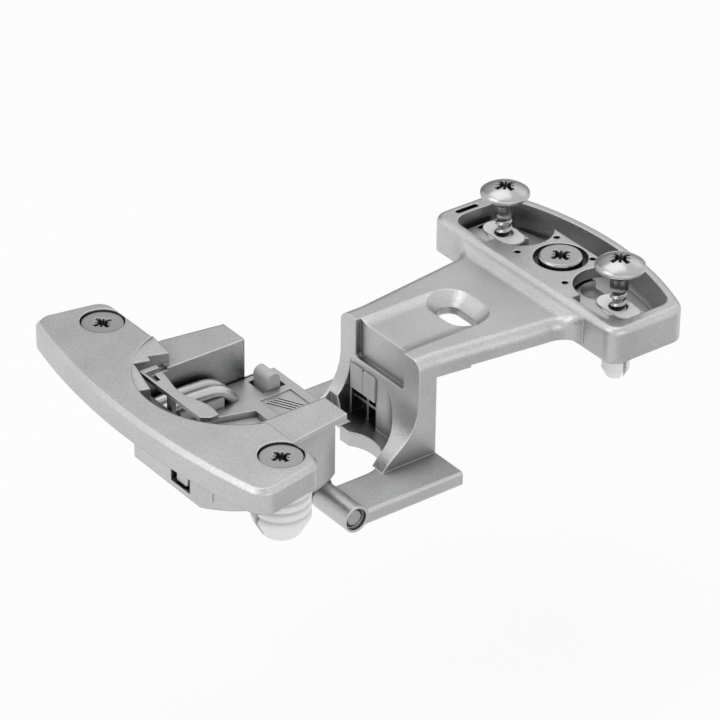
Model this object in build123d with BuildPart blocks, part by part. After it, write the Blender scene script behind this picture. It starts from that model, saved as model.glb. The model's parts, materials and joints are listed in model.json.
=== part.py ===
from build123d import *
import os
from math import sin, cos, radians, sqrt

# Concealed cup hinge for doors that open to 270 degrees, drawn at 90 degrees open.
# Frame: the origin lies between the two system screws on the cabinet wall,
# X runs from the cup to the mounting frame, Y along the pivot pin, Z away from the wall.

# Fastening patterns
system_pitch = 32.0
wing_pitch = 52.0
cup_diameter = 35.0
wing_screw_x = -79.75
cup_centre_x = -70.0

# Mounting frame
frame_front_x = -9.2
frame_back_x = 12.1
frame_end_x = 6.6
frame_half_w = 25.8
frame_height = 6.6
frame_edge_r = 1.2
rim_slope = 65.0
frame_front_corner_r = 3.0
frame_back_corner_r = 3.5
pocket_wall_front = 1.9
pocket_end_near = 23.2
pocket_end_far = 22.2
pocket_wall_back = 2.0
pocket_corner_r = 3.2
web_bottom_z = 4.4
web_back_x = 5.4
web_reach_y = 12.0
cam_hole_r = 4.95
cam_ledge_z = 5.0

# Beam and crank
beam_top_z = 4.45
beam_taper = 0.128
beam_half_w_at_frame = 14.65
beam_edge_r = 2.0
beam_floor_z = 0.8
beam_step_z = 0.35
beam_step_x = -29.4
flare_r = 4.7
flare_turn = 78.0
channel_half_w = 6.8
channel_depth = 0.5
wall_right_x = -36.2
wall_front_x = -40.0
recess_depth = 1.0
ledge_z = -3.1
ledge_height = 0.8
foot_top_z = -14.9
foot_thickness = 2.8
foot_half_w = 19.0
foot_edge_r = 0.6
cheek_foot_x = -47.6
cheek_inner_half_w = 8.2
scoop_r = 6.5
hollow_top_z = -3.9
guide_y_near = 0.9
guide_y_far = 8.0
guide_bottom_z = -9.5
slot_centre_x = -23.3
slot_width = 4.4
slot_travel = 4.2
sink_bottom_z = 2.2

# Pivot
pivot_x = -59.0
pivot_z = -15.7
barrel_r = 2.45
pin_r = 1.7
pin_play = 0.05
barrel_inner_near = 9.7
barrel_bore_r = 2.05
barrel_bore_depth = 0.8
barrel_inner_far = 12.1
lug_side_gap = 0.3
lug_arc_r = 6.3
lug_knee_z = -8.6

# Opening in the foot that lets the cup mechanism through
window_round_r = 7.7
window_bulge = 1.7
swing_gap = 0.4

# Cup
door_face_z = 4.4
flange_top_z = 8.95
flange_outer_x = -93.3
flange_corner_x = -89.0
flange_inner_x = -75.2
flange_half_len = 34.2
flange_end_taper = 2.6
flange_corner_r = 3.4
flange_chamfer = 0.8
cup_bottom_z = -8.2
cap_thickness = 0.9
cup_flat_x = -84.6
cup_wall = 1.4
tab_y = -4.0
tab_w = 3.4
tab_window_w = 5.6
ear_top_z = 5.4
ear_front_x = -60.3
ear_outer_y = 17.8
ear_rear_outer_y = 19.6
ear_rear_x = -72.0
ear_inner_y = 11.6
facet_drop = 0.1
facet_slope = 14.0
plate_top_z = -2.3
plate_thickness = 1.3
plate_front_x = -54.3
plate_half_w = 11.3
slider_x = -58.3
slider_y = 7.85
slider_len = 4.2
slider_w = 2.6
slider_top_z = 0.5
slider_travel = 0.9
slider_gap = 0.15
slider_foot = 0.8
spring_wire_r = 1.15
spring_wire_z = 0.65
spring_bend_r = 2.3
spring_bend_x = -68.2
bracket_top_z = 7.8
bracket_thickness = 0.8
plate_rear_x = -82.6
axle_x = -81.6
axle_z = 1.4
axle_r = 1.2
spring_rear_x = axle_x + axle_r + 0.1

# Fasteners
head_r = 4.5
head_rim_z = 12.7
head_dome = 1.5
head_rim = 0.6
screw_r = 1.65
screw_root_r = 1.15
screw_tip_z = -1.4
dowel_flange_z = 4.2
dowel_seat_gap = 0.05
wing_head_r = 3.72
wing_head_gap = 0.2
wing_dowel_r = 5.05
wing_dowel_depth = 10.4
wing_collar_r = 5.3
wing_collar_height = 0.5
cam_head_r = 3.95
cam_top_z = 7.1
plate_dowel_r = 2.5
plate_dowel_tip_z = -9.8
plate_collar_r = 2.9
base_top_z = 3.9
base_floor_z = 1.2
base_step_x = 2.7
cam_pin_r = 1.7
cam_pin_tip_z = 0.8
cam_disc_r = 2.7
cam_offset = 0.9
height_travel = 0.8
fit_gap = 0.15


def beam_half_w(x):
    """Half width of the tapered beam at a given x."""
    return beam_half_w_at_frame + (x - frame_front_x) * beam_taper


def pocket_outline(front_gap, end_gap):
    """Outline of the frame pocket, drawn smaller by a gap at the front and one all round."""
    front = frame_front_x + pocket_wall_front + front_gap
    near = pocket_end_near - end_gap
    far = pocket_end_far - end_gap
    side_x = frame_end_x - 1.0
    with BuildSketch(mode=Mode.PRIVATE) as plan:
        with BuildLine():
            Polyline((side_x, -near), (front, -near), (front, far), (side_x, far))
            ThreePointArc((side_x, far), (frame_back_x - pocket_wall_back - end_gap, 0), (side_x, -near))
        make_face()
        fillet(plan.vertices(), pocket_corner_r)
    return plan.sketch


def star_recess(radius):
    """Outline of a cross recess with four slim extra arms."""
    with BuildSketch(mode=Mode.PRIVATE) as star:
        Rectangle(2.0 * radius, 0.42 * radius)
        Rectangle(0.42 * radius, 2.0 * radius)
        Rectangle(1.35 * radius, 0.2 * radius, rotation=45)
        Rectangle(1.35 * radius, 0.2 * radius, rotation=-45)
        Circle(0.5 * radius)
    return star.sketch


os.makedirs("parts", exist_ok=True)

# The arm is one casting: mounting frame, beam, crank wall, foot and pivot barrels.
beam_start_x = frame_front_x + 1.5
flare_x = frame_front_x - flare_r
# The beam rises to the rim of the frame in a concave arc that runs into the rounded rim
rise_x = frame_front_x + frame_edge_r * (1.0 - sin(radians(rim_slope)))
rise_z = frame_height - frame_edge_r * (1.0 - cos(radians(rim_slope)))
rise_r = (rise_z - beam_top_z) / (1.0 - cos(radians(rim_slope)))
rise_start_x = rise_x - rise_r * sin(radians(rim_slope))
foot_bottom_z = foot_top_z - foot_thickness
plate_reach = sqrt((plate_front_x - pivot_x) ** 2 + (plate_top_z - pivot_z) ** 2)
slider_edge_x = slider_x + slider_w / 2.0 + slider_travel
slider_reach = sqrt((slider_edge_x - pivot_x) ** 2 + (slider_top_z - pivot_z) ** 2)
window_reach_x = pivot_x + plate_reach + swing_gap

# Outer block of the mounting frame, with its rounded rim
with BuildPart() as frame_block:
    with BuildSketch(Plane.XY) as frame_plan:
        with BuildLine():
            Polyline((frame_end_x, -frame_half_w), (frame_front_x, -frame_half_w),
                     (frame_front_x, frame_half_w), (frame_end_x, frame_half_w))
            ThreePointArc((frame_end_x, frame_half_w), (frame_back_x, 0),
                          (frame_end_x, -frame_half_w))
        make_face()
        fillet(frame_plan.vertices().sort_by(Axis.X)[0:2], frame_front_corner_r)
        fillet(frame_plan.vertices().group_by(Axis.X)[-1], frame_back_corner_r)
    extrude(amount=frame_height)
    fillet(frame_block.edges().group_by(Axis.Z)[-1], frame_edge_r)

with BuildPart() as hinge_arm:
    # Beam, crank wall and cheeks as one side profile
    with BuildSketch(Plane.XZ):
        with BuildLine():
            Polyline((cheek_foot_x, foot_top_z - 1.0), (wall_right_x, foot_top_z - 1.0),
                     (wall_right_x, beam_step_z), (beam_step_x, beam_step_z),
                     (beam_step_x, beam_floor_z), (beam_start_x, beam_floor_z),
                     (beam_start_x, rise_z), (rise_x, rise_z))
            ThreePointArc((rise_x, rise_z),
                          (rise_start_x + rise_r * sin(radians(rim_slope / 2.0)),
                           beam_top_z + rise_r * (1.0 - cos(radians(rim_slope / 2.0)))),
                          (rise_start_x, beam_top_z))
            Polyline((rise_start_x, beam_top_z), (wall_front_x, beam_top_z), (wall_front_x, ledge_z))
            Spline((wall_front_x, ledge_z), (wall_front_x - 0.4, -6.5), (-41.9, -9.6),
                   (-45.0, -12.4), (cheek_foot_x, foot_top_z), tangents=((0, -1), (-0.8, -1)))
            Line((cheek_foot_x, foot_top_z), (cheek_foot_x, foot_top_z - 1.0))
        make_face()
    extrude(amount=20.0, both=True)
    with BuildSketch(Plane.XY.offset(foot_bottom_z - 1.0)):
        with BuildLine():
            flare_w = beam_half_w(flare_x)
            crank_w = beam_half_w(wall_right_x)
            half_turn = radians(flare_turn / 2.0)
            arc_x = flare_x + flare_r * sin(half_turn)
            arc_y = flare_w + flare_r * (1.0 - cos(half_turn))
            end_x = flare_x + flare_r * sin(2.0 * half_turn)
            end_y = flare_w + flare_r * (1.0 - cos(2.0 * half_turn))
            Polyline((flare_x, flare_w), (wall_right_x, crank_w), (cheek_foot_x - 2.0, crank_w),
                     (cheek_foot_x - 2.0, -crank_w), (wall_right_x, -crank_w), (flare_x, -flare_w))
            ThreePointArc((flare_x, -flare_w), (arc_x, -arc_y), (end_x, -end_y))
            Polyline((end_x, -end_y), (beam_start_x, -end_y), (beam_start_x, end_y), (end_x, end_y))
            ThreePointArc((end_x, end_y), (arc_x, arc_y), (flare_x, flare_w))
        make_face()
    extrude(amount=40.0, mode=Mode.INTERSECT)
    long_edges = hinge_arm.edges().filter_by(
        lambda e: e.center().Z > beam_top_z - 0.01 and abs(e.center().Y) > 9.0
        and e.center().X < frame_front_x)
    fillet(long_edges, beam_edge_r)
    # Shallow trough along the top of the beam, rounded at both sides
    with BuildSketch(Plane.YZ.offset(wall_front_x - 1.0)):
        with BuildLine():
            t = beam_top_z
            Line((-channel_half_w, t + 1.0), (-channel_half_w, t))
            ThreePointArc((-channel_half_w, t), (-channel_half_w + 1.3, t - 0.75 * channel_depth),
                          (-channel_half_w + 3.0, t - channel_depth))
            Line((-channel_half_w + 3.0, t - channel_depth), (channel_half_w - 3.0, t - channel_depth))
            ThreePointArc((channel_half_w - 3.0, t - channel_depth),
                          (channel_half_w - 1.3, t - 0.75 * channel_depth), (channel_half_w, t))
            Polyline((channel_half_w, t), (channel_half_w, t + 1.0), (-channel_half_w, t + 1.0))
        make_face()
    extrude(amount=slot_centre_x - wall_front_x + 1.0, mode=Mode.SUBTRACT)
    # Recessed front panel of the crank
    with BuildSketch(Plane.YZ.offset(wall_front_x - 0.5)):
        with Locations((0, (beam_top_z + 1.0 + ledge_z) / 2.0)):
            RectangleRounded(2.0 * channel_half_w, beam_top_z + 1.0 - ledge_z, 0.8)
    extrude(amount=recess_depth + 0.5, mode=Mode.SUBTRACT)
    # Hollow between the cheeks, scooped out at the near side
    with BuildSketch(Plane.XY.offset(foot_top_z)):
        with BuildLine():
            scoop_in = scoop_r * (1.0 - sqrt(0.5))
            near = -cheek_inner_half_w
            Polyline((wall_front_x - scoop_r, near), (cheek_foot_x - 4.0, near),
                     (cheek_foot_x - 4.0, cheek_inner_half_w),
                     (wall_front_x, cheek_inner_half_w), (wall_front_x, near + scoop_r))
            ThreePointArc((wall_front_x, near + scoop_r), (wall_front_x - scoop_in, near + scoop_in),
                          (wall_front_x - scoop_r, near))
        make_face()
    extrude(amount=hollow_top_z - foot_top_z, mode=Mode.SUBTRACT)
    # Dark cavity under the pads
    with BuildSketch(Plane.XZ.offset(-guide_y_far)):
        with Locations((-40.6, (guide_bottom_z + foot_top_z) / 2.0)):
            Rectangle(6.4, guide_bottom_z - foot_top_z)
    extrude(amount=guide_y_far - guide_y_near, mode=Mode.SUBTRACT)
    with BuildSketch(Plane.XZ.offset(-guide_y_far)):
        with Locations((-38.2, -11.8)):
            Rectangle(1.8, 0.6)
    extrude(amount=guide_y_far - guide_y_near)
    with BuildSketch(Plane.XZ.offset(-(guide_y_far + guide_y_near) / 2.0 - 0.3)):
        with Locations((-38.2, (guide_bottom_z + foot_top_z) / 2.0)):
            Rectangle(1.8, guide_bottom_z - foot_top_z)
    extrude(amount=0.6)
    # Foot plate and pivot barrels
    with BuildSketch(Plane.XY.offset(foot_bottom_z)):
        with Locations(((pivot_x + 1.5 + wall_right_x) / 2.0, 0)):
            Rectangle(wall_right_x - pivot_x - 1.5, 2.0 * foot_half_w)
    extrude(amount=foot_thickness)
    foot_edges = hinge_arm.edges().filter_by(Axis.X).filter_by(
        lambda e: abs(abs(e.center().Y) - foot_half_w) < 0.01)
    fillet(foot_edges, foot_edge_r)
    with BuildSketch(Plane.XZ.offset(-foot_half_w)):
        with Locations((pivot_x, pivot_z)):
            Circle(barrel_r)
    extrude(amount=2.0 * foot_half_w)
    # Window in the foot: rounded at the near side, square and deeper at the far side
    with BuildSketch(Plane.XY.offset(foot_bottom_z - 3.0)):
        with BuildLine():
            round_x = window_reach_x + window_bulge - window_round_r
            round_y = -barrel_inner_near + window_round_r
            Polyline((pivot_x - 5.0, barrel_inner_far), (window_reach_x, barrel_inner_far),
                     (window_reach_x, round_y), (round_x, -barrel_inner_near),
                     (pivot_x - 5.0, -barrel_inner_near), close=True)
        make_face()
        with Locations((round_x, round_y)):
            Circle(window_round_r)
    extrude(amount=foot_thickness + 3.0 + 0.001, mode=Mode.SUBTRACT)
    # Round clearances where the channel plate and the damping slider swing past
    for y0, y1, reach in ((-5.2, plate_half_w + 0.4, plate_reach),
                          (slider_y - slider_len / 2.0 - 0.4, slider_y + slider_len / 2.0 + 0.4,
                           slider_reach)):
        with BuildSketch(Plane.XZ.offset(-y1)):
            with Locations((pivot_x, pivot_z)):
                Circle(reach + swing_gap)
            with Locations((pivot_x - 15.0, pivot_z)):
                Rectangle(30.0, 60.0, mode=Mode.SUBTRACT)
        extrude(amount=y1 - y0, mode=Mode.SUBTRACT)
    with BuildSketch(Plane.XY.offset(foot_top_z - 1.5)):
        with Locations((pivot_x, (barrel_inner_far - barrel_inner_near) / 2.0)):
            Rectangle(6.4, barrel_inner_far + barrel_inner_near)
    extrude(amount=8.0, both=True, mode=Mode.SUBTRACT)
    with BuildSketch(Plane.XZ.offset(-foot_half_w - 1.0)):
        with Locations((pivot_x, pivot_z)):
            Circle(pin_r + pin_play)
    extrude(amount=2.0 * foot_half_w + 2.0, mode=Mode.SUBTRACT)
    for y1 in (foot_half_w + 1.0, -foot_half_w + barrel_bore_depth):
        with BuildSketch(Plane.XZ.offset(-y1)):
            with Locations((pivot_x, pivot_z)):
                Circle(barrel_bore_r)
        extrude(amount=barrel_bore_depth + 1.0, mode=Mode.SUBTRACT)
    # Mounting frame with its open pocket
    add(frame_block.part)
    with BuildSketch(Plane.XY.offset(-1.0)):
        add(pocket_outline(0.0, 0.0))
    extrude(amount=web_bottom_z + 1.0, mode=Mode.SUBTRACT)
    with BuildSketch(Plane.XY.offset(web_bottom_z - 0.1)):
        add(pocket_outline(0.0, 0.0))
        with Locations((web_back_x - 10.0, 0)):
            Rectangle(20.0, 2.0 * web_reach_y, mode=Mode.SUBTRACT)
        with Locations((0.6, web_reach_y), (0.6, -web_reach_y)):
            Circle(6.0)
        SlotOverall(2.0 * (cam_disc_r + cam_offset) + 0.4, 2.0 * cam_disc_r + 0.3)
        with Locations((-5.0, 6.0), (3.9, 5.9), (4.2, -3.8), (-5.0, -7.3)):
            Circle(0.6)
    extrude(amount=4.0, mode=Mode.SUBTRACT)
    # The cam head turns in a round recess, its offset disc works in the slot below
    with BuildSketch(Plane.XY.offset(cam_ledge_z)):
        Circle(cam_hole_r)
    extrude(amount=4.0, mode=Mode.SUBTRACT)
    with BuildSketch(Plane.XY.offset(frame_height - 3.0)):
        with Locations((-2.6, (pocket_end_far + frame_half_w) / 2.0 - 0.5)):
            SlotOverall(5.0, 1.1)
    extrude(amount=4.0, mode=Mode.SUBTRACT)
    # Countersunk slot for an extra fixing screw
    with BuildSketch(Plane.XY.offset(-1.0)):
        with Locations((slot_centre_x, 0)):
            SlotCenterToCenter(slot_travel, slot_width, rotation=90)
    extrude(amount=beam_top_z + 3.0, mode=Mode.SUBTRACT)
    sink_top_z = beam_top_z + 0.1
    with BuildSketch(Plane.XY.offset(sink_top_z)):
        with Locations((slot_centre_x, 0)):
            SlotCenterToCenter(slot_travel, slot_width + 2.0 * (sink_top_z - sink_bottom_z),
                               rotation=90)
    with BuildSketch(Plane.XY.offset(sink_bottom_z)):
        with Locations((slot_centre_x, 0)):
            SlotCenterToCenter(slot_travel, slot_width, rotation=90)
    loft(mode=Mode.SUBTRACT)
hinge_arm.part.label = "hinge_arm"
export_step(hinge_arm.part, "parts/hinge_arm.step")

# Base plate inside the frame: it carries the dowels and the adjusting cam, and the arm
# slides along it when the cam turns.
end_clear = height_travel + fit_gap
with BuildPart() as base_plate:
    with BuildSketch(Plane.XY):
        add(pocket_outline(fit_gap, end_clear))
    extrude(amount=base_floor_z)
    with BuildSketch(Plane.XY):
        add(pocket_outline(fit_gap, end_clear))
        with Locations((base_step_x + 10.0, 0)):
            Rectangle(20.0, 60.0, mode=Mode.SUBTRACT)
    extrude(amount=base_top_z)
    with BuildSketch(Plane.XY.offset(-1.0)):
        with Locations((0, system_pitch / 2.0), (0, -system_pitch / 2.0)):
            Circle(plate_collar_r + dowel_seat_gap)
    extrude(amount=base_top_z + 2.0, mode=Mode.SUBTRACT)
    with BuildSketch(Plane.XY.offset(cam_pin_tip_z - fit_gap)):
        Circle(cam_pin_r + 0.05)
    extrude(amount=base_top_z, mode=Mode.SUBTRACT)
    with BuildSketch(Plane.XY.offset(base_top_z - 1.2)):
        Circle(cam_head_r)
        with Locations((0.2, pocket_end_far - end_clear - 0.9),
                       (0.2, -pocket_end_near + end_clear + 1.6)):
            SlotOverall(5.2, 1.1)
    extrude(amount=3.0, mode=Mode.SUBTRACT)
    with BuildSketch(Plane.XY.offset(base_top_z - 1.4)):
        with Locations((1.0, -9.4), (1.0, 9.4)):
            Circle(3.2)
    extrude(amount=2.0, mode=Mode.SUBTRACT)
base_plate.part.label = "base_plate"
export_step(base_plate.part, "parts/base_plate.step")

# Adjusting cam: a flat head with an offset pin that turns in the base plate
with BuildPart() as adjusting_cam:
    with BuildSketch(Plane.XY.offset(cam_top_z - 2.0)):
        Circle(cam_head_r)
    extrude(amount=2.0)
    fillet(adjusting_cam.edges().group_by(Axis.Z)[-1], 0.25)
    with BuildSketch(Plane.XY.offset(web_bottom_z)):
        with Locations((cam_offset, 0)):
            Circle(cam_disc_r)
    extrude(amount=cam_top_z - 2.0 - web_bottom_z)
    with BuildSketch(Plane.XY.offset(base_top_z - 1.2)):
        Circle(cam_head_r - 1.0)
    extrude(amount=web_bottom_z - base_top_z + 1.2)
    with BuildSketch(Plane.XY.offset(cam_pin_tip_z)):
        Circle(cam_pin_r)
    extrude(amount=base_top_z - 1.0 - cam_pin_tip_z)
    with BuildSketch(Plane.XY.offset(cam_top_z - 1.6)):
        add(star_recess(2.1))
    extrude(amount=2.0, mode=Mode.SUBTRACT)
adjusting_cam.part.label = "adjusting_cam"
export_step(adjusting_cam.part, "parts/adjusting_cam.step")


def make_system_screw(name, y):
    """Round head screw, not yet driven into its dowel."""
    with BuildPart() as screw:
        with BuildSketch(Plane.XZ.offset(-y)):
            with BuildLine():
                Line((0, screw_tip_z), (0, head_rim_z + head_dome))
                Spline((0, head_rim_z + head_dome), (head_r * 0.6, head_rim_z + head_dome * 0.72),
                       (head_r, head_rim_z), tangents=((1, 0), (0.5, -1)))
                Polyline((head_r, head_rim_z), (head_r, head_rim_z - head_rim),
                         (head_r - 0.7, head_rim_z - head_rim - 0.5),
                         (screw_r + 0.5, head_rim_z - head_rim - 0.9),
                         (screw_r, head_rim_z - head_rim - 1.3), (screw_r, 8.0),
                         (screw_root_r, 7.4), (screw_root_r, screw_tip_z + 1.6),
                         (0, screw_tip_z))
            make_face()
        revolve(axis=Axis((0, y, 0), (0, 0, 1)))
        with BuildSketch(Plane.XY.offset(head_rim_z - 1.0)):
            with Locations((0, y)):
                add(star_recess(2.1))
        extrude(amount=4.0, mode=Mode.SUBTRACT)
        # Thread drawn as separate ridges
        with BuildSketch(Plane.XZ.offset(-y)):
            for k in range(4):
                z = 6.4 - 1.5 * k
                with BuildLine():
                    Polyline((screw_root_r - 0.1, z + 0.42), (screw_r - 0.05, z + 0.06),
                             (screw_r - 0.05, z - 0.06), (screw_root_r - 0.1, z - 0.42),
                             close=True)
                make_face()
        revolve(axis=Axis((0, y, 0), (0, 0, 1)))
    screw.part.label = name
    export_step(screw.part, "parts/" + name + ".step")
    return screw


system_screw_far = make_system_screw("system_screw_far", system_pitch / 2.0)
system_screw_near = make_system_screw("system_screw_near", -system_pitch / 2.0)


def make_plate_dowel(name, y):
    """Expanding dowel with an oblong flange that rests on the base plate."""
    with BuildPart() as dowel:
        with BuildSketch(Plane.XZ.offset(-y)):
            with BuildLine():
                Line((0, plate_dowel_tip_z), (0, base_top_z))
                Polyline((0, base_top_z), (plate_collar_r, base_top_z), (plate_collar_r, 0),
                         (plate_dowel_r, 0), (plate_dowel_r, -3.2), (plate_dowel_r - 0.35, -3.6),
                         (plate_dowel_r, -4.0), (plate_dowel_r, -5.4), (plate_dowel_r - 0.35, -5.8),
                         (plate_dowel_r, -6.2), (plate_dowel_r, plate_dowel_tip_z + 1.8),
                         (plate_dowel_r - 0.9, plate_dowel_tip_z), (0, plate_dowel_tip_z))
            make_face()
        revolve(axis=Axis((0, y, 0), (0, 0, 1)))
        with BuildSketch(Plane.XY.offset(base_top_z)):
            with Locations((0, y)):
                SlotOverall(9.2, 4.7, rotation=90)
        extrude(amount=dowel_flange_z - base_top_z)
        with BuildSketch(Plane.XY.offset(plate_dowel_tip_z - 1.0)):
            with Locations((0, y)):
                Circle(screw_r + 0.1)
        extrude(amount=20.0, mode=Mode.SUBTRACT)
        with BuildSketch(Plane.XY.offset(plate_dowel_tip_z - 1.0)):
            with Locations((0, y)):
                Rectangle(0.7, 8.0)
        extrude(amount=8.0, mode=Mode.SUBTRACT)
    dowel.part.label = name
    export_step(dowel.part, "parts/" + name + ".step")
    return dowel


plate_dowel_far = make_plate_dowel("plate_dowel_far", system_pitch / 2.0)
plate_dowel_near = make_plate_dowel("plate_dowel_near", -system_pitch / 2.0)


def make_guide_pad(name, y0, y1):
    """Thin wear pad let into the crank wall."""
    pad_top = ledge_z - ledge_height - 0.6
    with BuildPart() as pad:
        with BuildSketch(Plane.YZ.offset(wall_front_x - 0.3)):
            with Locations(((y0 + y1) / 2.0, (pad_top + guide_bottom_z) / 2.0)):
                Rectangle(y1 - y0, pad_top - guide_bottom_z)
        extrude(amount=0.3)
        fillet(pad.edges().filter_by(Axis.X).group_by(Axis.Z)[-1], 0.6)
    pad.part.label = name
    export_step(pad.part, "parts/" + name + ".step")
    return pad


guide_split = (guide_y_near + guide_y_far) / 2.0
guide_pad_near = make_guide_pad("guide_pad_near", guide_y_near, guide_split - 0.05)
guide_pad_far = make_guide_pad("guide_pad_far", guide_split + 0.05, guide_y_far)

# Pivot pin, held in the barrels of the arm
with BuildPart() as pivot_pin:
    with BuildSketch(Plane.XZ.offset(-foot_half_w + 0.6)):
        with Locations((pivot_x, pivot_z)):
            Circle(pin_r)
    extrude(amount=2.0 * foot_half_w - 1.2)
    chamfer(pivot_pin.edges().filter_by(GeomType.CIRCLE), 0.35)
pivot_pin.part.label = "pivot_pin"
export_step(pivot_pin.part, "parts/pivot_pin.step")

# The cup housing is one casting: crescent flange, ears, cup shell and pivot lugs.
cup_r = cup_diameter / 2.0
arc_r = cup_r + 0.3
lug_near = -barrel_inner_near + lug_side_gap
lug_far = barrel_inner_far - lug_side_gap
slot_len = slider_w + 2.0 * (slider_travel + slider_gap)

# Floor inside the arc of the flange, at the far side, that slopes down towards the channel
with BuildPart() as facet:
    with BuildSketch(Plane.XY.offset(door_face_z)):
        with BuildLine():
            Polyline((flange_inner_x, ear_inner_y + 1.0), (-79.4, ear_inner_y + 1.2),
                     (-79.9, 10.9), (-83.2, 10.9), (-84.5, 4.6), (-88.6, 4.8), (-88.6, 20.0),
                     (flange_inner_x, 20.0), close=True)
        make_face()
        with Locations((cup_centre_x, 0)):
            Circle(arc_r + 0.5, mode=Mode.INTERSECT)
    extrude(amount=flange_top_z - door_face_z)
    lean = sin(radians(facet_slope)) * sqrt(0.5)
    slope_plane = Plane(origin=(cup_centre_x - arc_r * sqrt(0.5), arc_r * sqrt(0.5),
                                flange_top_z - facet_drop),
                        z_dir=(lean, -lean, cos(radians(facet_slope))))
    with BuildSketch(slope_plane):
        Rectangle(4.0 * arc_r, 4.0 * arc_r)
    extrude(amount=arc_r, mode=Mode.SUBTRACT)

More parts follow.
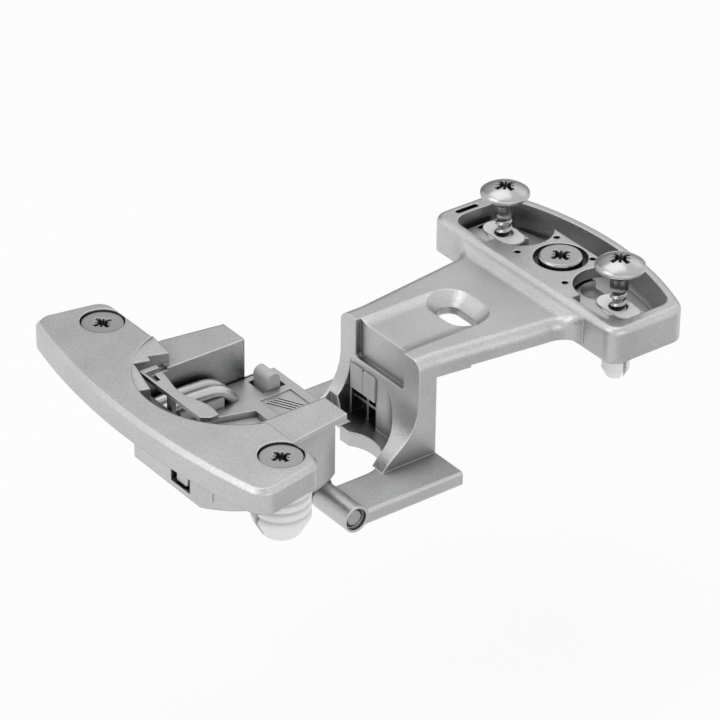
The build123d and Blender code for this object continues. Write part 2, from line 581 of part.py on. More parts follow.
with BuildPart() as cup_housing:
    # Crescent flange
    with BuildSketch(Plane.XY.offset(door_face_z)) as flange_plan:
        with BuildLine():
            end_in = flange_half_len - flange_end_taper
            Line((flange_inner_x, -end_in), (flange_inner_x, end_in))
            Line((flange_inner_x, end_in), (flange_corner_x, flange_half_len))
            ThreePointArc((flange_corner_x, flange_half_len), (flange_outer_x, 0),
                          (flange_corner_x, -flange_half_len))
            Line((flange_corner_x, -flange_half_len), (flange_inner_x, -end_in))
        make_face()
        fillet(flange_plan.vertices(), flange_corner_r)
    extrude(amount=flange_top_z - door_face_z)
    top_loop = cup_housing.edges().filter_by(
        lambda e: abs(e.center().Z - flange_top_z) < 0.01 and (
            e.center().X < flange_inner_x - 0.2 or e.length < 8.0))
    chamfer(top_loop, flange_chamfer)
    # Arc opening of the flange
    with BuildSketch(Plane.XY.offset(door_face_z - 1.0)):
        with Locations((cup_centre_x, 0)):
            Circle(arc_r)
    extrude(amount=20.0, mode=Mode.SUBTRACT)
    # Cup shell with a flat at the back and an open front at the door edge
    with BuildSketch(Plane.XY.offset(cup_bottom_z)):
        with Locations((cup_centre_x, 0)):
            Circle(cup_r)
        with Locations((cup_flat_x - 10.0, 0)):
            Rectangle(20.0, 60.0, mode=Mode.SUBTRACT)
        with Locations((ear_front_x + 10.0, 0)):
            Rectangle(20.0, 60.0, mode=Mode.SUBTRACT)
    extrude(amount=door_face_z + 0.6 - cup_bottom_z)
    # Collar that joins the round shell to the flange above the door face
    with BuildSketch(Plane.XY.offset(door_face_z)):
        with Locations((cup_centre_x, 0)):
            Circle(arc_r + 1.0)
            Circle(cup_r - cup_wall, mode=Mode.SUBTRACT)
        with Locations((flange_inner_x + 20.0, 0)):
            Rectangle(40.0, 60.0, mode=Mode.SUBTRACT)
    extrude(amount=1.6)
    # Ears along the channel
    for side in (1, -1):
        with BuildSketch(Plane.XY.offset(door_face_z)):
            with BuildLine():
                Polyline((flange_inner_x - 1.0, side * (ear_inner_y - 0.5)),
                         (ear_front_x, side * (ear_inner_y - 0.5)),
                         (ear_front_x, side * ear_outer_y),
                         (ear_rear_x, side * ear_rear_outer_y),
                         (flange_inner_x - 1.0, side * ear_rear_outer_y), close=True)
            make_face()
        extrude(amount=ear_top_z - door_face_z)
    # Sloping floor of the flange inside the arc, at the far side
    add(facet.part)
    # Channel through the cup
    with BuildSketch(Plane.XY.offset(cup_bottom_z + 1.4)):
        with Locations(((cup_flat_x + cup_wall + ear_front_x + 1.0) / 2.0, 0)):
            Rectangle(ear_front_x + 1.0 - cup_flat_x - cup_wall, 2.0 * ear_inner_y)
    extrude(amount=24.0, mode=Mode.SUBTRACT)
    # Rear pockets of the shell beside the channel are open to the flange arc
    with BuildSketch(Plane.XY.offset(0.5)):
        with Locations((cup_centre_x, 0)):
            Circle(cup_r - cup_wall)
        with Locations((-79.0 + 20.0, 0)):
            Rectangle(40.0, 60.0, mode=Mode.SUBTRACT)
        with Locations((-90.0, 20.0 + 4.5)):
            Rectangle(60.0, 40.0, mode=Mode.SUBTRACT)
        with Locations((cup_flat_x + cup_wall - 10.0, 0)):
            Rectangle(20.0, 60.0, mode=Mode.SUBTRACT)
    extrude(amount=20.0, mode=Mode.SUBTRACT)
    # Side window for the catch tab
    with BuildSketch(Plane.YZ.offset(cup_flat_x - 1.0)):
        with Locations((tab_y, cup_bottom_z + 3.1)):
            Rectangle(tab_window_w, 4.2)
    extrude(amount=cup_wall + 2.0, mode=Mode.SUBTRACT)
    # Pivot lugs below the channel
    with BuildSketch(Plane.XZ.offset(-lug_far)):
        with BuildLine():
            Polyline((-63.5, cup_bottom_z), (-57.9, cup_bottom_z), (-57.6, -12.5),
                     (pivot_x + 2.45, pivot_z), (pivot_x, pivot_z - 2.0),
                     (pivot_x - 2.45, pivot_z), close=True)
        make_face()
        with Locations((pivot_x, pivot_z)):
            Circle(barrel_r - 0.1)
    extrude(amount=lug_far - lug_near)
    with BuildSketch(Plane.YZ.offset(-61.8)):
        with BuildLine():
            arc_in = lug_arc_r * (1.0 - sqrt(0.5))
            Line((lug_near, -14.0), (lug_near, lug_knee_z))
            ThreePointArc((lug_near, lug_knee_z), (lug_near + arc_in, lug_knee_z + lug_arc_r - arc_in),
                          (lug_near + lug_arc_r, lug_knee_z + lug_arc_r))
            Polyline((lug_near + lug_arc_r, lug_knee_z + lug_arc_r), (lug_far, lug_knee_z + lug_arc_r),
                     (lug_far, -14.0), (lug_near, -14.0))
        make_face()
    extrude(amount=4.0)
    with BuildSketch(Plane.XY.offset(plate_top_z - plate_thickness)):
        with Locations((-66.0, 0)):
            Rectangle(30.0, 2.0 * ear_inner_y)
    extrude(amount=3.0, mode=Mode.SUBTRACT)
    with BuildSketch(Plane.XY.offset(plate_top_z - plate_thickness - slider_foot - 2.0 * slider_gap)):
        with Locations((slider_x, slider_y)):
            Rectangle(slot_len + 2.0 * slider_travel + 2.0, slider_len + 1.2)
    extrude(amount=slider_foot + 2.0 * slider_gap, mode=Mode.SUBTRACT)
    with BuildSketch(Plane.XZ.offset(-lug_far - 1.0)):
        with Locations((pivot_x, pivot_z)):
            Circle(pin_r + pin_play)
    extrude(amount=lug_far - lug_near + 2.0, mode=Mode.SUBTRACT)
    # Screw seats in the wings
    for side in (1, -1):
        with Locations((wing_screw_x, side * wing_pitch / 2.0, flange_top_z)):
            CounterBoreHole(radius=2.2, counter_bore_radius=wing_head_r + wing_head_gap,
                            counter_bore_depth=2.0, depth=8.0)
    # Recesses under the wings for the collars of the dowels
    with BuildSketch(Plane.XY.offset(door_face_z)):
        with Locations((wing_screw_x, wing_pitch / 2.0), (wing_screw_x, -wing_pitch / 2.0)):
            Circle(wing_collar_r + dowel_seat_gap)
    extrude(amount=wing_collar_height, mode=Mode.SUBTRACT)
cup_housing.part.label = "cup_housing"
export_step(cup_housing.part, "parts/cup_housing.step")


def make_wing_screw(name, y):
    """Flat head screw of the cup wings."""
    with BuildPart() as screw:
        with BuildSketch(Plane.XZ.offset(-y)):
            with BuildLine():
                Polyline((wing_screw_x, -3.0), (wing_screw_x, flange_top_z - 0.35),
                         (wing_screw_x + wing_head_r, flange_top_z - 0.35),
                         (wing_screw_x + wing_head_r, flange_top_z - 2.0),
                         (wing_screw_x + screw_r, flange_top_z - 2.0),
                         (wing_screw_x + screw_r, -1.6), (wing_screw_x + 0.6, -3.0), close=True)
            make_face()
        revolve(axis=Axis((wing_screw_x, y, 0), (0, 0, 1)))
        with BuildSketch(Plane.XY.offset(flange_top_z - 1.7)):
            with Locations((wing_screw_x, y)):
                add(star_recess(1.75))
        extrude(amount=2.0, mode=Mode.SUBTRACT)
    screw.part.label = name
    export_step(screw.part, "parts/" + name + ".step")
    return screw


wing_screw_far = make_wing_screw("wing_screw_far", wing_pitch / 2.0)
wing_screw_near = make_wing_screw("wing_screw_near", -wing_pitch / 2.0)


def make_wing_dowel(name, y):
    """Barbed expanding dowel under a wing."""
    r = wing_dowel_r
    z0 = door_face_z
    tip = door_face_z - wing_dowel_depth
    with BuildPart() as dowel:
        with BuildSketch(Plane.XZ.offset(-y)):
            with BuildLine():
                Polyline((wing_screw_x, tip), (wing_screw_x, z0 + wing_collar_height),
                         (wing_screw_x + wing_collar_r, z0 + wing_collar_height),
                         (wing_screw_x + wing_collar_r, z0), (wing_screw_x + r, z0),
                         (wing_screw_x + r, z0 - 2.2), (wing_screw_x + r - 0.4, z0 - 2.7),
                         (wing_screw_x + r, z0 - 2.9), (wing_screw_x + r, z0 - 4.5),
                         (wing_screw_x + r - 0.4, z0 - 5.0), (wing_screw_x + r, z0 - 5.2),
                         (wing_screw_x + r, z0 - 6.8), (wing_screw_x + r - 1.7, tip + 0.4),
                         (wing_screw_x + r - 2.3, tip), close=True)
            make_face()
        revolve(axis=Axis((wing_screw_x, y, 0), (0, 0, 1)))
        with BuildSketch(Plane.XY.offset(tip + 1.0)):
            with Locations((wing_screw_x, y)):
                Circle(1.95)
        extrude(amount=wing_dowel_depth, mode=Mode.SUBTRACT)
        with BuildSketch(Plane.XY.offset(tip - 1.0)):
            with Locations((wing_screw_x, y)):
                Rectangle(14.0, 0.8)
        extrude(amount=7.0, mode=Mode.SUBTRACT)
    dowel.part.label = name
    export_step(dowel.part, "parts/" + name + ".step")
    return dowel


wing_dowel_far = make_wing_dowel("wing_dowel_far", wing_pitch / 2.0)
wing_dowel_near = make_wing_dowel("wing_dowel_near", -wing_pitch / 2.0)

# Channel plate with the slot of the damping slider
with BuildPart() as channel_plate:
    with BuildSketch(Plane.XY.offset(plate_top_z - plate_thickness)):
        with BuildLine():
            Polyline((plate_rear_x, plate_half_w), (plate_front_x, plate_half_w),
                     (plate_front_x, -3.4), (plate_front_x - 1.4, -4.8), (-65.0, -4.8),
                     (-65.0, 1.8), (-72.0, 4.0), (plate_rear_x, 4.0), close=True)
        make_face()
    extrude(amount=plate_thickness)
    with BuildSketch(Plane.XY.offset(plate_top_z - plate_thickness - 1.0)):
        with Locations((slider_x, slider_y)):
            Rectangle(slot_len, slider_len + 2.0 * slider_gap)
    extrude(amount=plate_thickness + 2.0, mode=Mode.SUBTRACT)
    # Shallow step and slanted grooves near the front edge
    with BuildSketch(Plane.XY.offset(plate_top_z - 0.2)):
        with Locations((-59.3, -0.4)):
            Rectangle(6.4, 8.8)
    extrude(amount=1.0, mode=Mode.SUBTRACT)
    with BuildSketch(Plane.XY.offset(plate_top_z - 0.6)):
        for k in range(4):
            with Locations((-60.7 + 0.8 * k, 0.9)):
                Rectangle(4.8, 0.3, rotation=-62)
    extrude(amount=1.0, mode=Mode.SUBTRACT)
channel_plate.part.label = "channel_plate"
export_step(channel_plate.part, "parts/channel_plate.step")

# Damping slider: a rounded button in the slot of the plate, with a foot below the plate
with BuildPart() as damping_slider:
    foot_top = plate_top_z - plate_thickness - slider_gap
    with BuildSketch(Plane.XZ.offset(-slider_y - slider_len / 2.0)):
        with BuildLine():
            w = slider_w / 2.0
            shoulder = slider_top_z - 0.8 * w
            Polyline((slider_x - w, shoulder), (slider_x - w, foot_top), (slider_x + w, foot_top),
                     (slider_x + w, shoulder))
            ThreePointArc((slider_x + w, shoulder), (slider_x, slider_top_z),
                          (slider_x - w, shoulder))
        make_face()
    extrude(amount=slider_len)
    with BuildSketch(Plane.XY.offset(foot_top - slider_foot)):
        with Locations((slider_x, slider_y)):
            Rectangle(slot_len + 1.6, slider_len + 0.8)
    extrude(amount=slider_foot)
damping_slider.part.label = "damping_slider"
export_step(damping_slider.part, "parts/damping_slider.step")

# Closing spring: two stout wires from the axle, bent down into the plate at the front
spring_near_y = 7.2
spring_pitch = 2.0 * spring_wire_r + 0.1
with BuildPart() as closing_spring:
    for k in range(2):
        y = spring_near_y + spring_pitch * k
        bend_z = spring_wire_z - spring_bend_r
        mid = spring_bend_r * sin(radians(45))
        with BuildLine() as wire_path:
            Line((spring_rear_x, y, spring_wire_z), (spring_bend_x, y, spring_wire_z))
            ThreePointArc((spring_bend_x, y, spring_wire_z), (spring_bend_x + mid, y, bend_z + mid),
                          (spring_bend_x + spring_bend_r, y, bend_z))
            Line((spring_bend_x + spring_bend_r, y, bend_z),
                 (spring_bend_x + spring_bend_r, y, plate_top_z))
        with BuildSketch(Plane.YZ.offset(spring_rear_x)):
            with Locations((y, spring_wire_z)):
                Circle(spring_wire_r)
        sweep(path=wire_path.wires()[0])
closing_spring.part.label = "closing_spring"
export_step(closing_spring.part, "parts/closing_spring.step")

# Guide block that carries the spring on the channel plate
with BuildPart() as spring_guide:
    with BuildSketch(Plane.XY.offset(plate_top_z)):
        with Locations((-73.0, spring_near_y + spring_pitch / 2.0)):
            Rectangle(9.0, 2.0 * spring_pitch)
    extrude(amount=spring_wire_z - spring_wire_r - plate_top_z)
spring_guide.part.label = "spring_guide"
export_step(spring_guide.part, "parts/spring_guide.step")

# Rear axle of the spring, across the channel
with BuildPart() as spring_axle:
    with BuildSketch(Plane.XZ.offset(-ear_inner_y)):
        with Locations((axle_x, axle_z)):
            Circle(axle_r)
    extrude(amount=2.0 * ear_inner_y)
spring_axle.part.label = "spring_axle"
export_step(spring_axle.part, "parts/spring_axle.step")

# Sheet bracket over the rear end of the channel
with BuildPart() as spring_bracket:
    z0 = bracket_top_z - bracket_thickness
    with BuildSketch(Plane.XY.offset(z0)):
        with BuildLine():
            Polyline((-79.9, 8.1), (-81.3, 8.1), (-81.5, 5.9), (-82.4, 5.9), (-82.4, 9.3),
                     (-79.5, 9.3), (-79.5, 10.3), (-82.9, 10.3), (-82.9, -7.6), (-81.6, -8.6),
                     (-79.9, -8.6))
            Spline((-79.9, -8.6), (-79.6, -6.6), (-79.8, -4.2), (-80.6, -1.8), (-81.1, 0.9),
                   (-80.8, 3.3), (-80.2, 5.9), (-79.9, 8.1))
        make_face()
    extrude(amount=bracket_thickness)
    # Two legs stand on the axle
    with BuildSketch(Plane.XY.offset(axle_z)):
        for y in (-7.0, 1.6):
            with Locations((-82.3, y)):
                Rectangle(0.9, 1.4)
    extrude(amount=z0 - axle_z)
    with BuildSketch(Plane.XZ.offset(-ear_inner_y)):
        with Locations((axle_x, axle_z)):
            Circle(axle_r + 0.05)
    extrude(amount=2.0 * ear_inner_y, mode=Mode.SUBTRACT)
spring_bracket.part.label = "spring_bracket"
export_step(spring_bracket.part, "parts/spring_bracket.step")

# Damper body below the channel plate
with BuildPart() as damper_body:
    with BuildSketch(Plane.XY.offset(cup_bottom_z + 1.4)):
        with Locations((-71.9, 1.2)):
            RectangleRounded(15.0, 19.0, 2.0)
    extrude(amount=plate_top_z - plate_thickness - cup_bottom_z - 1.4)
damper_body.part.label = "damper_body"
export_step(damper_body.part, "parts/damper_body.step")

# Bottom cap of the cup
with BuildPart() as bottom_cap:
    with BuildSketch(Plane.XY.offset(cup_bottom_z - cap_thickness)):
        with Locations((cup_centre_x, 0)):
            Circle(cup_r - 1.0)
        with Locations((cup_flat_x + 0.8 - 10.0, 0)):
            Rectangle(20.0, 60.0, mode=Mode.SUBTRACT)
        with Locations((-64.2 + 10.0, 0)):
            Rectangle(20.0, 60.0, mode=Mode.SUBTRACT)
    extrude(amount=cap_thickness)
    fillet(bottom_cap.edges().group_by(Axis.Z)[0], 0.3)
bottom_cap.part.label = "bottom_cap"
export_step(bottom_cap.part, "parts/bottom_cap.step")

# Catch tab seen in the side window of the cup
with BuildPart() as catch_tab:
    with BuildSketch(Plane.XY.offset(cup_bottom_z + 1.4)):
        with Locations((cup_flat_x + cup_wall, tab_y + 0.5)):
            Rectangle(1.8, tab_w)
    extrude(amount=3.4)
    fillet(catch_tab.edges().filter_by(Axis.Z), 0.6)
catch_tab.part.label = "catch_tab"
export_step(catch_tab.part, "parts/catch_tab.step")
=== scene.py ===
import json
import math
from collections import namedtuple

import bmesh
import bpy
from mathutils import Matrix, Vector


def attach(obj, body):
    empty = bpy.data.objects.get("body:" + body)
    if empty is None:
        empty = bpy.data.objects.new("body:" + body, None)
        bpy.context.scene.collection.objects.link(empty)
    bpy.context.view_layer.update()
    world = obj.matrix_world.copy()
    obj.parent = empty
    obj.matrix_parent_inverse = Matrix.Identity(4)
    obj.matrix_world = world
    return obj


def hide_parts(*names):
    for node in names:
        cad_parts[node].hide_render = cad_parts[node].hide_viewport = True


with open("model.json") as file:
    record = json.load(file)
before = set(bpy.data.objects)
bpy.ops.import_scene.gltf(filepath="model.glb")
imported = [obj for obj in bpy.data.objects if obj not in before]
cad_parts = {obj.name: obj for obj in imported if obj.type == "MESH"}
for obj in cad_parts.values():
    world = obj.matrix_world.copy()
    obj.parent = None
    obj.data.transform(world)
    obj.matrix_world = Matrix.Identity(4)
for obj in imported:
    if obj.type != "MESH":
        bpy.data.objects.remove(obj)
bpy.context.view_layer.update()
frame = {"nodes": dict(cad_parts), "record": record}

# Places in mm that the pieces below share with the solids
mm = 0.001
system_screw_y = 16.0
wing_screw_x = -79.75
wing_screw_y = 26.0
cup_centre_x = -70.0


def start_material(name):
    """A new material with its node tree and its surface shader."""
    mat = bpy.data.materials.new(name)
    mat.use_nodes = True
    return mat, mat.node_tree, mat.node_tree.nodes["Principled BSDF"]


def add(tree, kind, **values):
    """A node of this kind with the named inputs or settings filled in."""
    node = tree.nodes.new(kind)
    for key, value in values.items():
        label = key.replace("_", " ").title()
        if label in node.inputs:
            node.inputs[label].default_value = value
        else:
            setattr(node, key, value)
    return node


def feed(tree, socket, value):
    """Link a socket to another one, or set it to a plain value."""
    if isinstance(value, bpy.types.NodeSocket):
        tree.links.new(value, socket)
    else:
        socket.default_value = value


def spread(tree, source, low, high, to_low, to_high):
    """Map the range low to high onto the range to_low to to_high, clamped."""
    node = add(tree, "ShaderNodeMapRange")
    for socket, value in zip(node.inputs, (source, low, high, to_low, to_high)):
        feed(tree, socket, value)
    return node.outputs[0]


def reckon(tree, operation, one, two):
    """Result of a sum on two values, each a socket or a number."""
    node = add(tree, "ShaderNodeMath", operation=operation)
    feed(tree, node.inputs[0], one)
    feed(tree, node.inputs[1], two)
    return node.outputs[0]


def scaled(tree, colour, factor):
    """A colour made darker or lighter by a factor."""
    node = add(tree, "ShaderNodeVectorMath", operation="SCALE")
    feed(tree, node.inputs[0], colour)
    feed(tree, node.inputs["Scale"], factor)
    return node.outputs[0]


def blend(tree, factor, low, high):
    """Mix of two colours, each a socket or a plain colour."""
    node = add(tree, "ShaderNodeMix", data_type="RGBA")
    feed(tree, node.inputs[0], factor)
    feed(tree, node.inputs[6], low)
    feed(tree, node.inputs[7], high)
    return node.outputs[2]


def noise(tree, scale, detail, roughness):
    """Noise that is fixed to the object."""
    where = add(tree, "ShaderNodeTexCoord")
    node = add(tree, "ShaderNodeTexNoise", scale=scale, detail=detail, roughness=roughness)
    tree.links.new(where.outputs["Object"], node.inputs["Vector"])
    return node.outputs["Fac"]


def painted_hollow_shade(tree, distance, depth):
    """Painted shade: colour darkened in corners and recesses, 1 on open faces and 1 - depth in
    tight ones.
    """
    tight, open_face = 0.35, 0.95
    node = add(tree, "ShaderNodeAmbientOcclusion", samples=6, distance=distance)
    return spread(tree, node.outputs["AO"], tight, open_face, 1.0 - depth, 1.0)


def opaque(colour, gain=1.0):
    """The colour with full cover, brightened by the gain up to white."""
    return (*(min(1.0, c * gain) for c in colour), 1)


def uneven_shine(tree, cloud, roughness):
    """Roughness that drifts by a tenth across the surface."""
    return spread(tree, cloud, 0.3, 0.7, roughness * 0.9, roughness * 1.1)


def finish_bump(tree, shader, grain, rounded, strength, distance):
    """Surface grain on top of the rounded edges."""
    bump = add(tree, "ShaderNodeBump", strength=strength, distance=distance)
    tree.links.new(grain, bump.inputs["Height"])
    tree.links.new(rounded, bump.inputs["Normal"])
    tree.links.new(bump.outputs[0], shader.inputs["Normal"])


def metal(name, colour, roughness, grain_size, grain_depth, edge_radius, painted_shade_depth=0.35, reach=2.2,
          speckle=0.03):
    """Plated metal: grained surface, rounded edges with a painted highlight, painted shade in
    hollows.

    grain_size, grain_depth, edge_radius and reach are in mm.
    """
    painted_highlight_gain = 1.12
    cloud_scale = 90
    mat, tree, shader = start_material(name)
    rounded = add(tree, "ShaderNodeBevel", radius=edge_radius * mm, samples=8).outputs[0]
    plain = add(tree, "ShaderNodeNewGeometry").outputs["Normal"]
    turn = add(tree, "ShaderNodeVectorMath", operation="DOT_PRODUCT")
    tree.links.new(rounded, turn.inputs[0])
    tree.links.new(plain, turn.inputs[1])
    on_edge = spread(tree, turn.outputs["Value"], 0.995, 0.8, 0.0, 1.0)
    # Painted shade: the base colour is darkened in corners and recesses
    shade = painted_hollow_shade(tree, reach * mm, painted_shade_depth)
    in_open = spread(tree, shade, 1.0 - 0.4 * painted_shade_depth, 1.0, 0.0, 1.0)
    grain = noise(tree, 1 / (grain_size * mm), 2.0, 0.65)
    cloud = noise(tree, cloud_scale, 3.0, 0.55)
    dull = opaque(colour, 0.9)
    tone = blend(tree, spread(tree, cloud, 0.35, 0.65, 0.0, 1.0), dull, opaque(colour))
    fleck = spread(tree, grain, 0.3, 0.7, 1.0 - speckle, 1.0 + speckle)
    face = scaled(tree, tone, reckon(tree, "MULTIPLY", fleck, shade))
    # Painted highlight: open edges get a lighter base colour
    painted_edge_highlight = reckon(tree, "MULTIPLY", on_edge, in_open)
    feed(tree, shader.inputs["Base Color"], blend(tree, painted_edge_highlight, face, opaque(colour, painted_highlight_gain)))
    feed(tree, shader.inputs["Metallic"], 1.0)
    feed(tree, shader.inputs["Roughness"], uneven_shine(tree, cloud, roughness))
    finish_bump(tree, shader, grain, rounded, 1.0, grain_depth * mm)
    return mat


def plastic(name, colour, roughness, milk=0.0, painted_shade_depth=0.0):
    """Moulded plastic with a fine flow grain, slightly cloudy colour and painted shade in its
    hollows.
    """
    edge_radius, reach, grain_depth = 0.12 * mm, 1.4 * mm, 0.01 * mm
    grain_scale, cloud_scale = 3200, 160
    mat, tree, shader = start_material(name)
    rounded = add(tree, "ShaderNodeBevel", radius=edge_radius, samples=6).outputs[0]
    cloud = noise(tree, cloud_scale, 3.0, 0.5)
    grain = noise(tree, grain_scale, 2.0, 0.6)
    dim = opaque(colour, 0.95)
    tone = blend(tree, spread(tree, cloud, 0.35, 0.65, 0.0, 1.0), dim, opaque(colour))
    # Painted shade: the base colour is darkened in hollows
    feed(tree, shader.inputs["Base Color"], scaled(tree, tone, painted_hollow_shade(tree, reach, painted_shade_depth)))
    feed(tree, shader.inputs["Roughness"], uneven_shine(tree, cloud, roughness))
    feed(tree, shader.inputs["Subsurface Weight"], milk)
    feed(tree, shader.inputs["Subsurface Radius"], (1.0 * mm, 1.0 * mm, 1.1 * mm))
    finish_bump(tree, shader, grain, rounded, 0.6, grain_depth)
    return mat


finishes = {
    "nickel_casting": metal("nickel_casting", (0.56, 0.565, 0.565), 0.32, 0.26, 0.055, 0.4,
                            painted_shade_depth=0.72, reach=6.0, speckle=0.14),
    "nickel_inner": metal("nickel_inner", (0.56, 0.565, 0.57), 0.32, 0.25, 0.012, 0.2,
                          painted_shade_depth=0.75, reach=1.6, speckle=0.06),
    "steel_screw": metal("steel_screw", (0.47, 0.47, 0.465), 0.22, 0.3, 0.002, 0.1, painted_shade_depth=0.65),
    "steel_pin": metal("steel_pin", (0.5, 0.5, 0.5), 0.25, 0.3, 0.003, 0.15),
    "spring_steel": metal("spring_steel", (0.55, 0.555, 0.56), 0.26, 1.2, 0.002, 0.1, painted_shade_depth=0.6),
    "clear_plastic": plastic("clear_plastic", (0.88, 0.885, 0.885), 0.36, milk=0.25, painted_shade_depth=0.4),
    "grey_plastic": plastic("grey_plastic", (0.5, 0.505, 0.51), 0.4, painted_shade_depth=0.3),
}
slot_of = {row["node"]: row["material_slot"] for row in frame["record"]["subparts"]}
for name, node in frame["nodes"].items():
    node.data.materials.clear()
    node.data.materials.append(finishes[slot_of[name]])


# Extra shapes of a turned piece, in mm: a star recess in the faces above a height, a thread
# between two heights, and a slit below a height that leaves a core
Star = namedtuple("Star", "size depth above")
Thread = namedtuple("Thread", "top bottom pitch root crest")
Slit = namedtuple("Slit", "half_width below core")


def star_depth(x, y, star):
    """Depth of a cross recess with four slim extra arms at a point of the head."""
    wall_slope, end_slope = 5.0, 0.8
    wide_arm = (0.22 * star.size, star.size)
    slim_arm = (0.11 * star.size, 0.8 * star.size)
    depth = 0.0
    for k in range(8):
        turn = math.pi * k / 4
        along = x * math.cos(turn) + y * math.sin(turn)
        across = abs(y * math.cos(turn) - x * math.sin(turn))
        half, reach = wide_arm if k % 2 == 0 else slim_arm
        if along > 0:
            inside = min(half - across, (reach - along) * end_slope)
            depth = max(depth, inside * wall_slope)
    out = math.hypot(x, y)
    depth = max(depth, (0.5 * star.size - out) * wall_slope)
    return min(depth, star.depth * (1.1 - 0.35 * out / star.size))


def thread_radius(thread, height, share_of_turn):
    """Radius of a helical thread at a height and at a share of a full turn."""
    ridge_share, run_out = 0.27, 0.6
    phase = ((height - thread.bottom) / thread.pitch - share_of_turn) % 1.0
    ridge = max(0.0, 1.0 - abs(phase - 0.5) / ridge_share)
    ends = min(1.0, (thread.top - height) / run_out, (height - thread.bottom) / run_out)
    return thread.root + (thread.crest - thread.root) * ridge * max(0.0, ends)


def place(name, data):
    """A new object in the scene."""
    thing = bpy.data.objects.new(name, data)
    bpy.context.collection.objects.link(thing)
    return thing


def turned(name, centre, rows, segments=96, star=None, thread=None, slit=None):
    """A turned piece: rows of (radius, height) in mm from the top centre down to the tip."""
    verts, faces = [], []
    for radius, height in rows:
        for k in range(segments):
            angle = 2 * math.pi * k / segments
            r, z = radius, height
            if thread and thread.bottom <= height <= thread.top:
                r = thread_radius(thread, height, k / segments)
            if slit and height < slit.below and abs(r * math.sin(angle)) < slit.half_width:
                r = min(r, slit.core)
            x, y = r * math.cos(angle), r * math.sin(angle)
            if star and height >= star.above:
                z -= star_depth(x, y, star)
            verts.append(((centre[0] + x) * mm, (centre[1] + y) * mm, z * mm))
    for i in range(len(rows) - 1):
        for k in range(segments):
            n = (k + 1) % segments
            faces.append((i * segments + k, (i + 1) * segments + k,
                          (i + 1) * segments + n, i * segments + n))
    last = (len(rows) - 1) * segments
    faces.append(tuple(reversed(range(segments))))
    faces.append(tuple(last + k for k in range(segments)))
    mesh = bpy.data.meshes.new(name)
    mesh.from_pydata(verts, [], faces)
    mesh.polygons.foreach_set("use_smooth", [True] * len(mesh.polygons))
    mesh.update()
    mesh.set_sharp_from_angle(angle=math.radians(38))
    return place(name, mesh)


def dress(piece, body, node, slot):
    """Give a piece its material and let it stand for a solid."""
    piece.data.materials.append(finishes[slot])
    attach(piece, body)
    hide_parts(node)


def steps(low, high, count):
    """Even steps from low to high, both ends included."""
    return [low + (high - low) * k / count for k in range(count + 1)]


# System screws: domed head with a raised rim, shank and thread
dome_top_z, dome_r = 14.18, 7.5
head_rim = [(4.2, 12.8), (4.25, 12.74), (4.3, 12.71), (4.42, 12.69), (4.48, 12.62), (4.5, 12.5),
            (4.5, 12.15), (4.44, 12.1), (3.8, 11.62), (2.15, 11.22), (1.8, 11.0)]
shank = [(1.65, 10.75), (1.65, 10.0), (1.65, 9.0), (1.65, 8.0), (1.5, 7.8), (1.15, 7.4)]
screw_thread = Thread(top=7.3, bottom=0.3, pitch=1.5, root=1.15, crest=1.6)
screw_tip = [(0.6, -0.65), (0.05, -1.38)]
for node, body, y in (("system_screw_far", "screw_far", system_screw_y),
                      ("system_screw_near", "screw_near", -system_screw_y)):
    rows = [(r, dome_top_z - dome_r + math.sqrt(dome_r ** 2 - r ** 2))
            for r in steps(0.02, 2.3, 30) + steps(2.4, 4.1, 14)]
    rows += head_rim + shank
    rows += [(screw_thread.root, z) for z in steps(screw_thread.top, screw_thread.bottom, 70)]
    rows += screw_tip
    piece = turned(node + "_turned", (0.0, y), rows, star=Star(2.1, 1.6, 12.9),
                   thread=screw_thread)
    dress(piece, body, node, "steel_screw")

# Flat head screws of the wings
wing_head_z = 8.6
wing_screw_side = [(3.66, 8.56), (3.72, 8.46), (3.72, 7.1), (3.66, 6.95), (1.75, 6.95),
                   (1.65, 6.85), (1.65, -1.6), (0.6, -2.98), (0.05, -2.98)]
for node, y in (("wing_screw_far", wing_screw_y), ("wing_screw_near", -wing_screw_y)):
    rows = [(r, wing_head_z) for r in steps(0.02, 1.95, 26) + steps(2.1, 3.55, 6)]
    rows += wing_screw_side
    piece = turned(node + "_turned", (wing_screw_x, y), rows, star=Star(1.8, 1.3, 8.55))
    dress(piece, "cup", node, "steel_screw")

# Adjusting cam: head, offset disc and pin
cam_top_z, cam_offset = 7.1, 0.9
rows = [(r, cam_top_z) for r in steps(0.02, 2.2, 28) + steps(2.35, 3.6, 5)]
rows += [(3.68, 7.07), (3.9, 6.84), (3.95, 6.74), (3.95, 5.2), (3.85, 5.1), (0.05, 5.1)]
dress(turned("cam_head", (0.0, 0.0), rows, star=Star(2.05, 1.5, 7.05)),
      "cam", "adjusting_cam", "steel_screw")
rows = [(0.05, 5.1), (2.7, 5.1), (2.7, 4.4), (0.05, 4.4)]
dress(turned("cam_disc", (cam_offset, 0.0), rows, 64), "cam", "adjusting_cam", "steel_screw")
rows = [(0.05, 4.36), (2.95, 4.36), (2.95, 2.7), (1.7, 2.7), (1.7, 0.95), (1.55, 0.8), (0.05, 0.8)]
dress(turned("cam_pin", (0.0, 0.0), rows, 64), "cam", "adjusting_cam", "steel_screw")

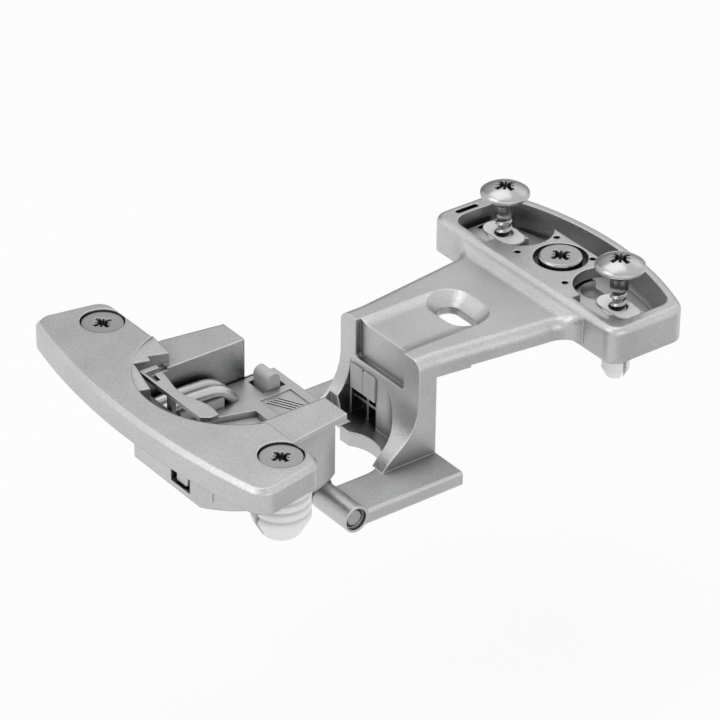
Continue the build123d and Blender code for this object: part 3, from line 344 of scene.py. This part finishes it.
# Barbed dowels of the wings, with the slit that lets them spread
dowel_r, barb_depth, barb_pitch, barb_width = 5.05, 0.45, 1.75, 0.17
dowel_collar = [(0.05, 4.9), (5.3, 4.9), (5.3, 4.4), (dowel_r, 4.4), (dowel_r, 3.2)]
dowel_tip = [(4.95, -2.7), (3.4, -5.5), (3.1, -5.8), (2.75, -5.97), (0.05, -5.97)]
for node, y in (("wing_dowel_far", wing_screw_y), ("wing_dowel_near", -wing_screw_y)):
    rows = list(dowel_collar)
    for z in steps(3.1, -2.4, 50):
        phase = ((3.0 - z) / barb_pitch) % 1.0
        rows.append((dowel_r - barb_depth * math.exp(-((phase - 0.5) / barb_width) ** 2), z))
    rows += dowel_tip
    piece = turned(node + "_turned", (wing_screw_x, y), rows, 128, slit=Slit(0.4, 0.0, 1.95))
    dress(piece, "cup", node, "clear_plastic")

# Strips in the wall of the cup shell, where the corners of the channel cut right through it
strip_outer_r, strip_inner_r = 17.46, 17.04
strip_low_z, strip_top_z = -7.0, 4.4
strip_outline = [(strip_outer_r, strip_low_z), (strip_outer_r, strip_top_z),
                 (strip_inner_r, strip_top_z), (strip_inner_r, strip_low_z)]
for label, side in (("far", 1), ("near", -1)):
    form = bmesh.new()
    rings = []
    for y in steps(11.0, 12.2, 8):
        turn = math.asin(y / strip_outer_r)
        rings.append([form.verts.new(((cup_centre_x - r * math.cos(turn)) * mm,
                                      side * r * math.sin(turn) * mm, z * mm))
                      for r, z in strip_outline])
    for one, two in zip(rings, rings[1:]):
        for k in range(4):
            n = (k + 1) % 4
            form.faces.new((one[k], one[n], two[n], two[k]))
    form.faces.new(rings[0])
    form.faces.new(rings[-1])
    bmesh.ops.recalc_face_normals(form, faces=form.faces)
    mesh = bpy.data.meshes.new("shell_strip_" + label)
    form.to_mesh(mesh)
    form.free()
    strip = place("shell_strip_" + label, mesh)
    strip.data.materials.append(finishes["nickel_casting"])
    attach(strip, "cup")

# Closing spring: two wires that run almost flat and then dive under the plate
wire_r, wire_z, wire_bow = 1.14, 0.65, 0.15
wire_rear_x, wire_bend_x = -80.3, -71.0
bend_r, bend_start, bend_end = 5.6, 0.06, 1.08
wires = bpy.data.curves.new("closing_spring_wires", "CURVE")
wires.dimensions = "3D"
wires.bevel_depth = wire_r * mm
wires.bevel_resolution = 8
wires.use_fill_caps = True
for y in (7.2, 9.6):
    path = [(x, wire_z + wire_bow * math.sin(math.pi * (x - wire_rear_x)
                                             / (wire_bend_x - wire_rear_x)))
            for x in steps(wire_rear_x, wire_bend_x, 12)]
    path += [(wire_bend_x + bend_r * math.sin(a), wire_z - bend_r * (1 - math.cos(a)))
             for a in steps(bend_start, bend_end, 12)]
    spline = wires.splines.new("POLY")
    spline.points.add(len(path) - 1)
    for point, (x, z) in zip(spline.points, path):
        point.co = (x * mm, y * mm, z * mm, 1)
dress(place("closing_spring_wires", wires), "cup", "closing_spring", "spring_steel")


def stage_plane(name, centre, size):
    """A flat plane of the studio, in metres."""
    bpy.ops.mesh.primitive_plane_add(size=1)
    plane = bpy.context.object
    plane.name = name
    plane.scale = (size[0], size[1], 1)
    plane.location = centre
    return plane


def aim(thing, centre, aim_at, front):
    """Turn the front axis of a thing at this centre towards a point."""
    way = Vector(aim_at) - Vector(centre)
    thing.rotation_euler = way.to_track_quat(front, "Y").to_euler()


def seen_directly(tree):
    """1 where the background is looked at, straight, through glass or in a shine."""
    path = add(tree, "ShaderNodeLightPath").outputs
    straight = reckon(tree, "MAXIMUM", path["Is Camera Ray"], path["Is Transmission Ray"])
    return reckon(tree, "MAXIMUM", straight, path["Is Glossy Ray"])


def either(tree, factor, first, second):
    """Mix of two shaders."""
    node = add(tree, "ShaderNodeMixShader")
    for socket, value in zip(node.inputs, (factor, first, second)):
        tree.links.new(value, socket)
    return node.outputs[0]


# Pale floor: it looks almost white and keeps the shadow of the object
paper_white = (1, 1, 1, 1)
floor = stage_plane("floor", (-0.02, 0, -0.062), (6, 6))
mat, tree, shader = start_material("floor_paper")
shader.inputs["Base Color"].default_value = (0.9, 0.9, 0.9, 1)
shader.inputs["Roughness"].default_value = 0.9
white = add(tree, "ShaderNodeEmission", strength=1.0)
share = reckon(tree, "MULTIPLY", seen_directly(tree), 0.85)
surface = either(tree, share, shader.outputs[0], white.outputs[0])
tree.links.new(surface, tree.nodes["Material Output"].inputs["Surface"])
floor.data.materials.append(mat)

# Room light that grows with height, and white where it is seen directly
world = bpy.data.worlds.new("studio")
bpy.context.scene.world = world
world.use_nodes = True
tree = world.node_tree
tree.nodes.clear()
way_out = add(tree, "ShaderNodeTexCoord")
split = add(tree, "ShaderNodeSeparateXYZ")
tree.links.new(way_out.outputs["Generated"], split.inputs[0])
room = add(tree, "ShaderNodeBackground", color=paper_white)
feed(tree, room.inputs["Strength"], spread(tree, split.outputs["Z"], -0.15, 0.9, 0.3, 0.9))
paper = add(tree, "ShaderNodeBackground", color=paper_white, strength=1.0)
surface = either(tree, seen_directly(tree), room.outputs[0], paper.outputs[0])
tree.links.new(surface, add(tree, "ShaderNodeOutputWorld").inputs["Surface"])


def studio_card(name, centre, size, aim_at, across, upward):
    """Grey studio card seen in reflections only; its tone changes across and upward."""
    card = stage_plane(name, centre, size)
    aim(card, centre, aim_at, "Z")
    card.visible_camera = False
    card.visible_diffuse = False
    card.visible_shadow = False
    mat = bpy.data.materials.new(name + "_paper")
    mat.use_nodes = True
    tree = mat.node_tree
    tree.nodes.clear()
    where = add(tree, "ShaderNodeTexCoord")
    split = add(tree, "ShaderNodeSeparateXYZ")
    tree.links.new(where.outputs["Generated"], split.inputs[0])
    tone = reckon(tree, "MULTIPLY", spread(tree, split.outputs["X"], 0.0, 1.0, *across),
                  spread(tree, split.outputs["Y"], 0.1, 0.7, *upward))
    glow = add(tree, "ShaderNodeEmission")
    tree.links.new(tone, glow.inputs["Strength"])
    out = add(tree, "ShaderNodeOutputMaterial")
    tree.links.new(glow.outputs[0], out.inputs["Surface"])
    card.data.materials.append(mat)


middle = (-0.035, 0, 0)
studio_card("card_back", (0.15, 0.21, 0.118), (0.5, 0.34), middle, (0.35, 1.5), (0.2, 1.0))
studio_card("card_low", (0.04, -0.12, -0.058), (0.2, 0.14), (0.04, -0.12, 1.0), (0.68, 0.68),
            (1.0, 1.0))


def lamp(name, centre, size, power):
    """Soft lamp that shines at the middle of the object."""
    data = bpy.data.lights.new(name, "AREA")
    data.shape = "RECTANGLE"
    data.size, data.size_y = size
    data.energy = power
    light = place(name, data)
    light.location = centre
    aim(light, centre, middle, "-Z")


lamp("key", (-0.55, 0.15, 0.55), (0.5, 0.35), 0.85)
lamp("top", (0.05, 0.25, 0.7), (0.5, 0.5), 0.7)
lamp("front", (-0.1, -0.7, 0.25), (0.5, 0.25), 0.5)

# Camera fitted to the photo: its place in mm and its turns in degrees
camera_place = (-401.338 * mm, -470.921 * mm, 363.501 * mm)
heading, above_horizon, roll = -37.174, 31.510, 0.6353
lens = bpy.data.cameras.new("camera")
lens.lens = 201.86
lens.sensor_width = 36
lens.clip_end = 50
camera = place("camera", lens)
camera.matrix_world = (
    Matrix.Translation(camera_place)
    @ Matrix.Rotation(math.radians(heading), 4, "Z")
    @ Matrix.Rotation(math.radians(90 - above_horizon), 4, "X")
    @ Matrix.Rotation(math.radians(roll), 4, "Z")
)
bpy.context.scene.camera = camera
bpy.context.scene.view_settings.view_transform = "Standard"
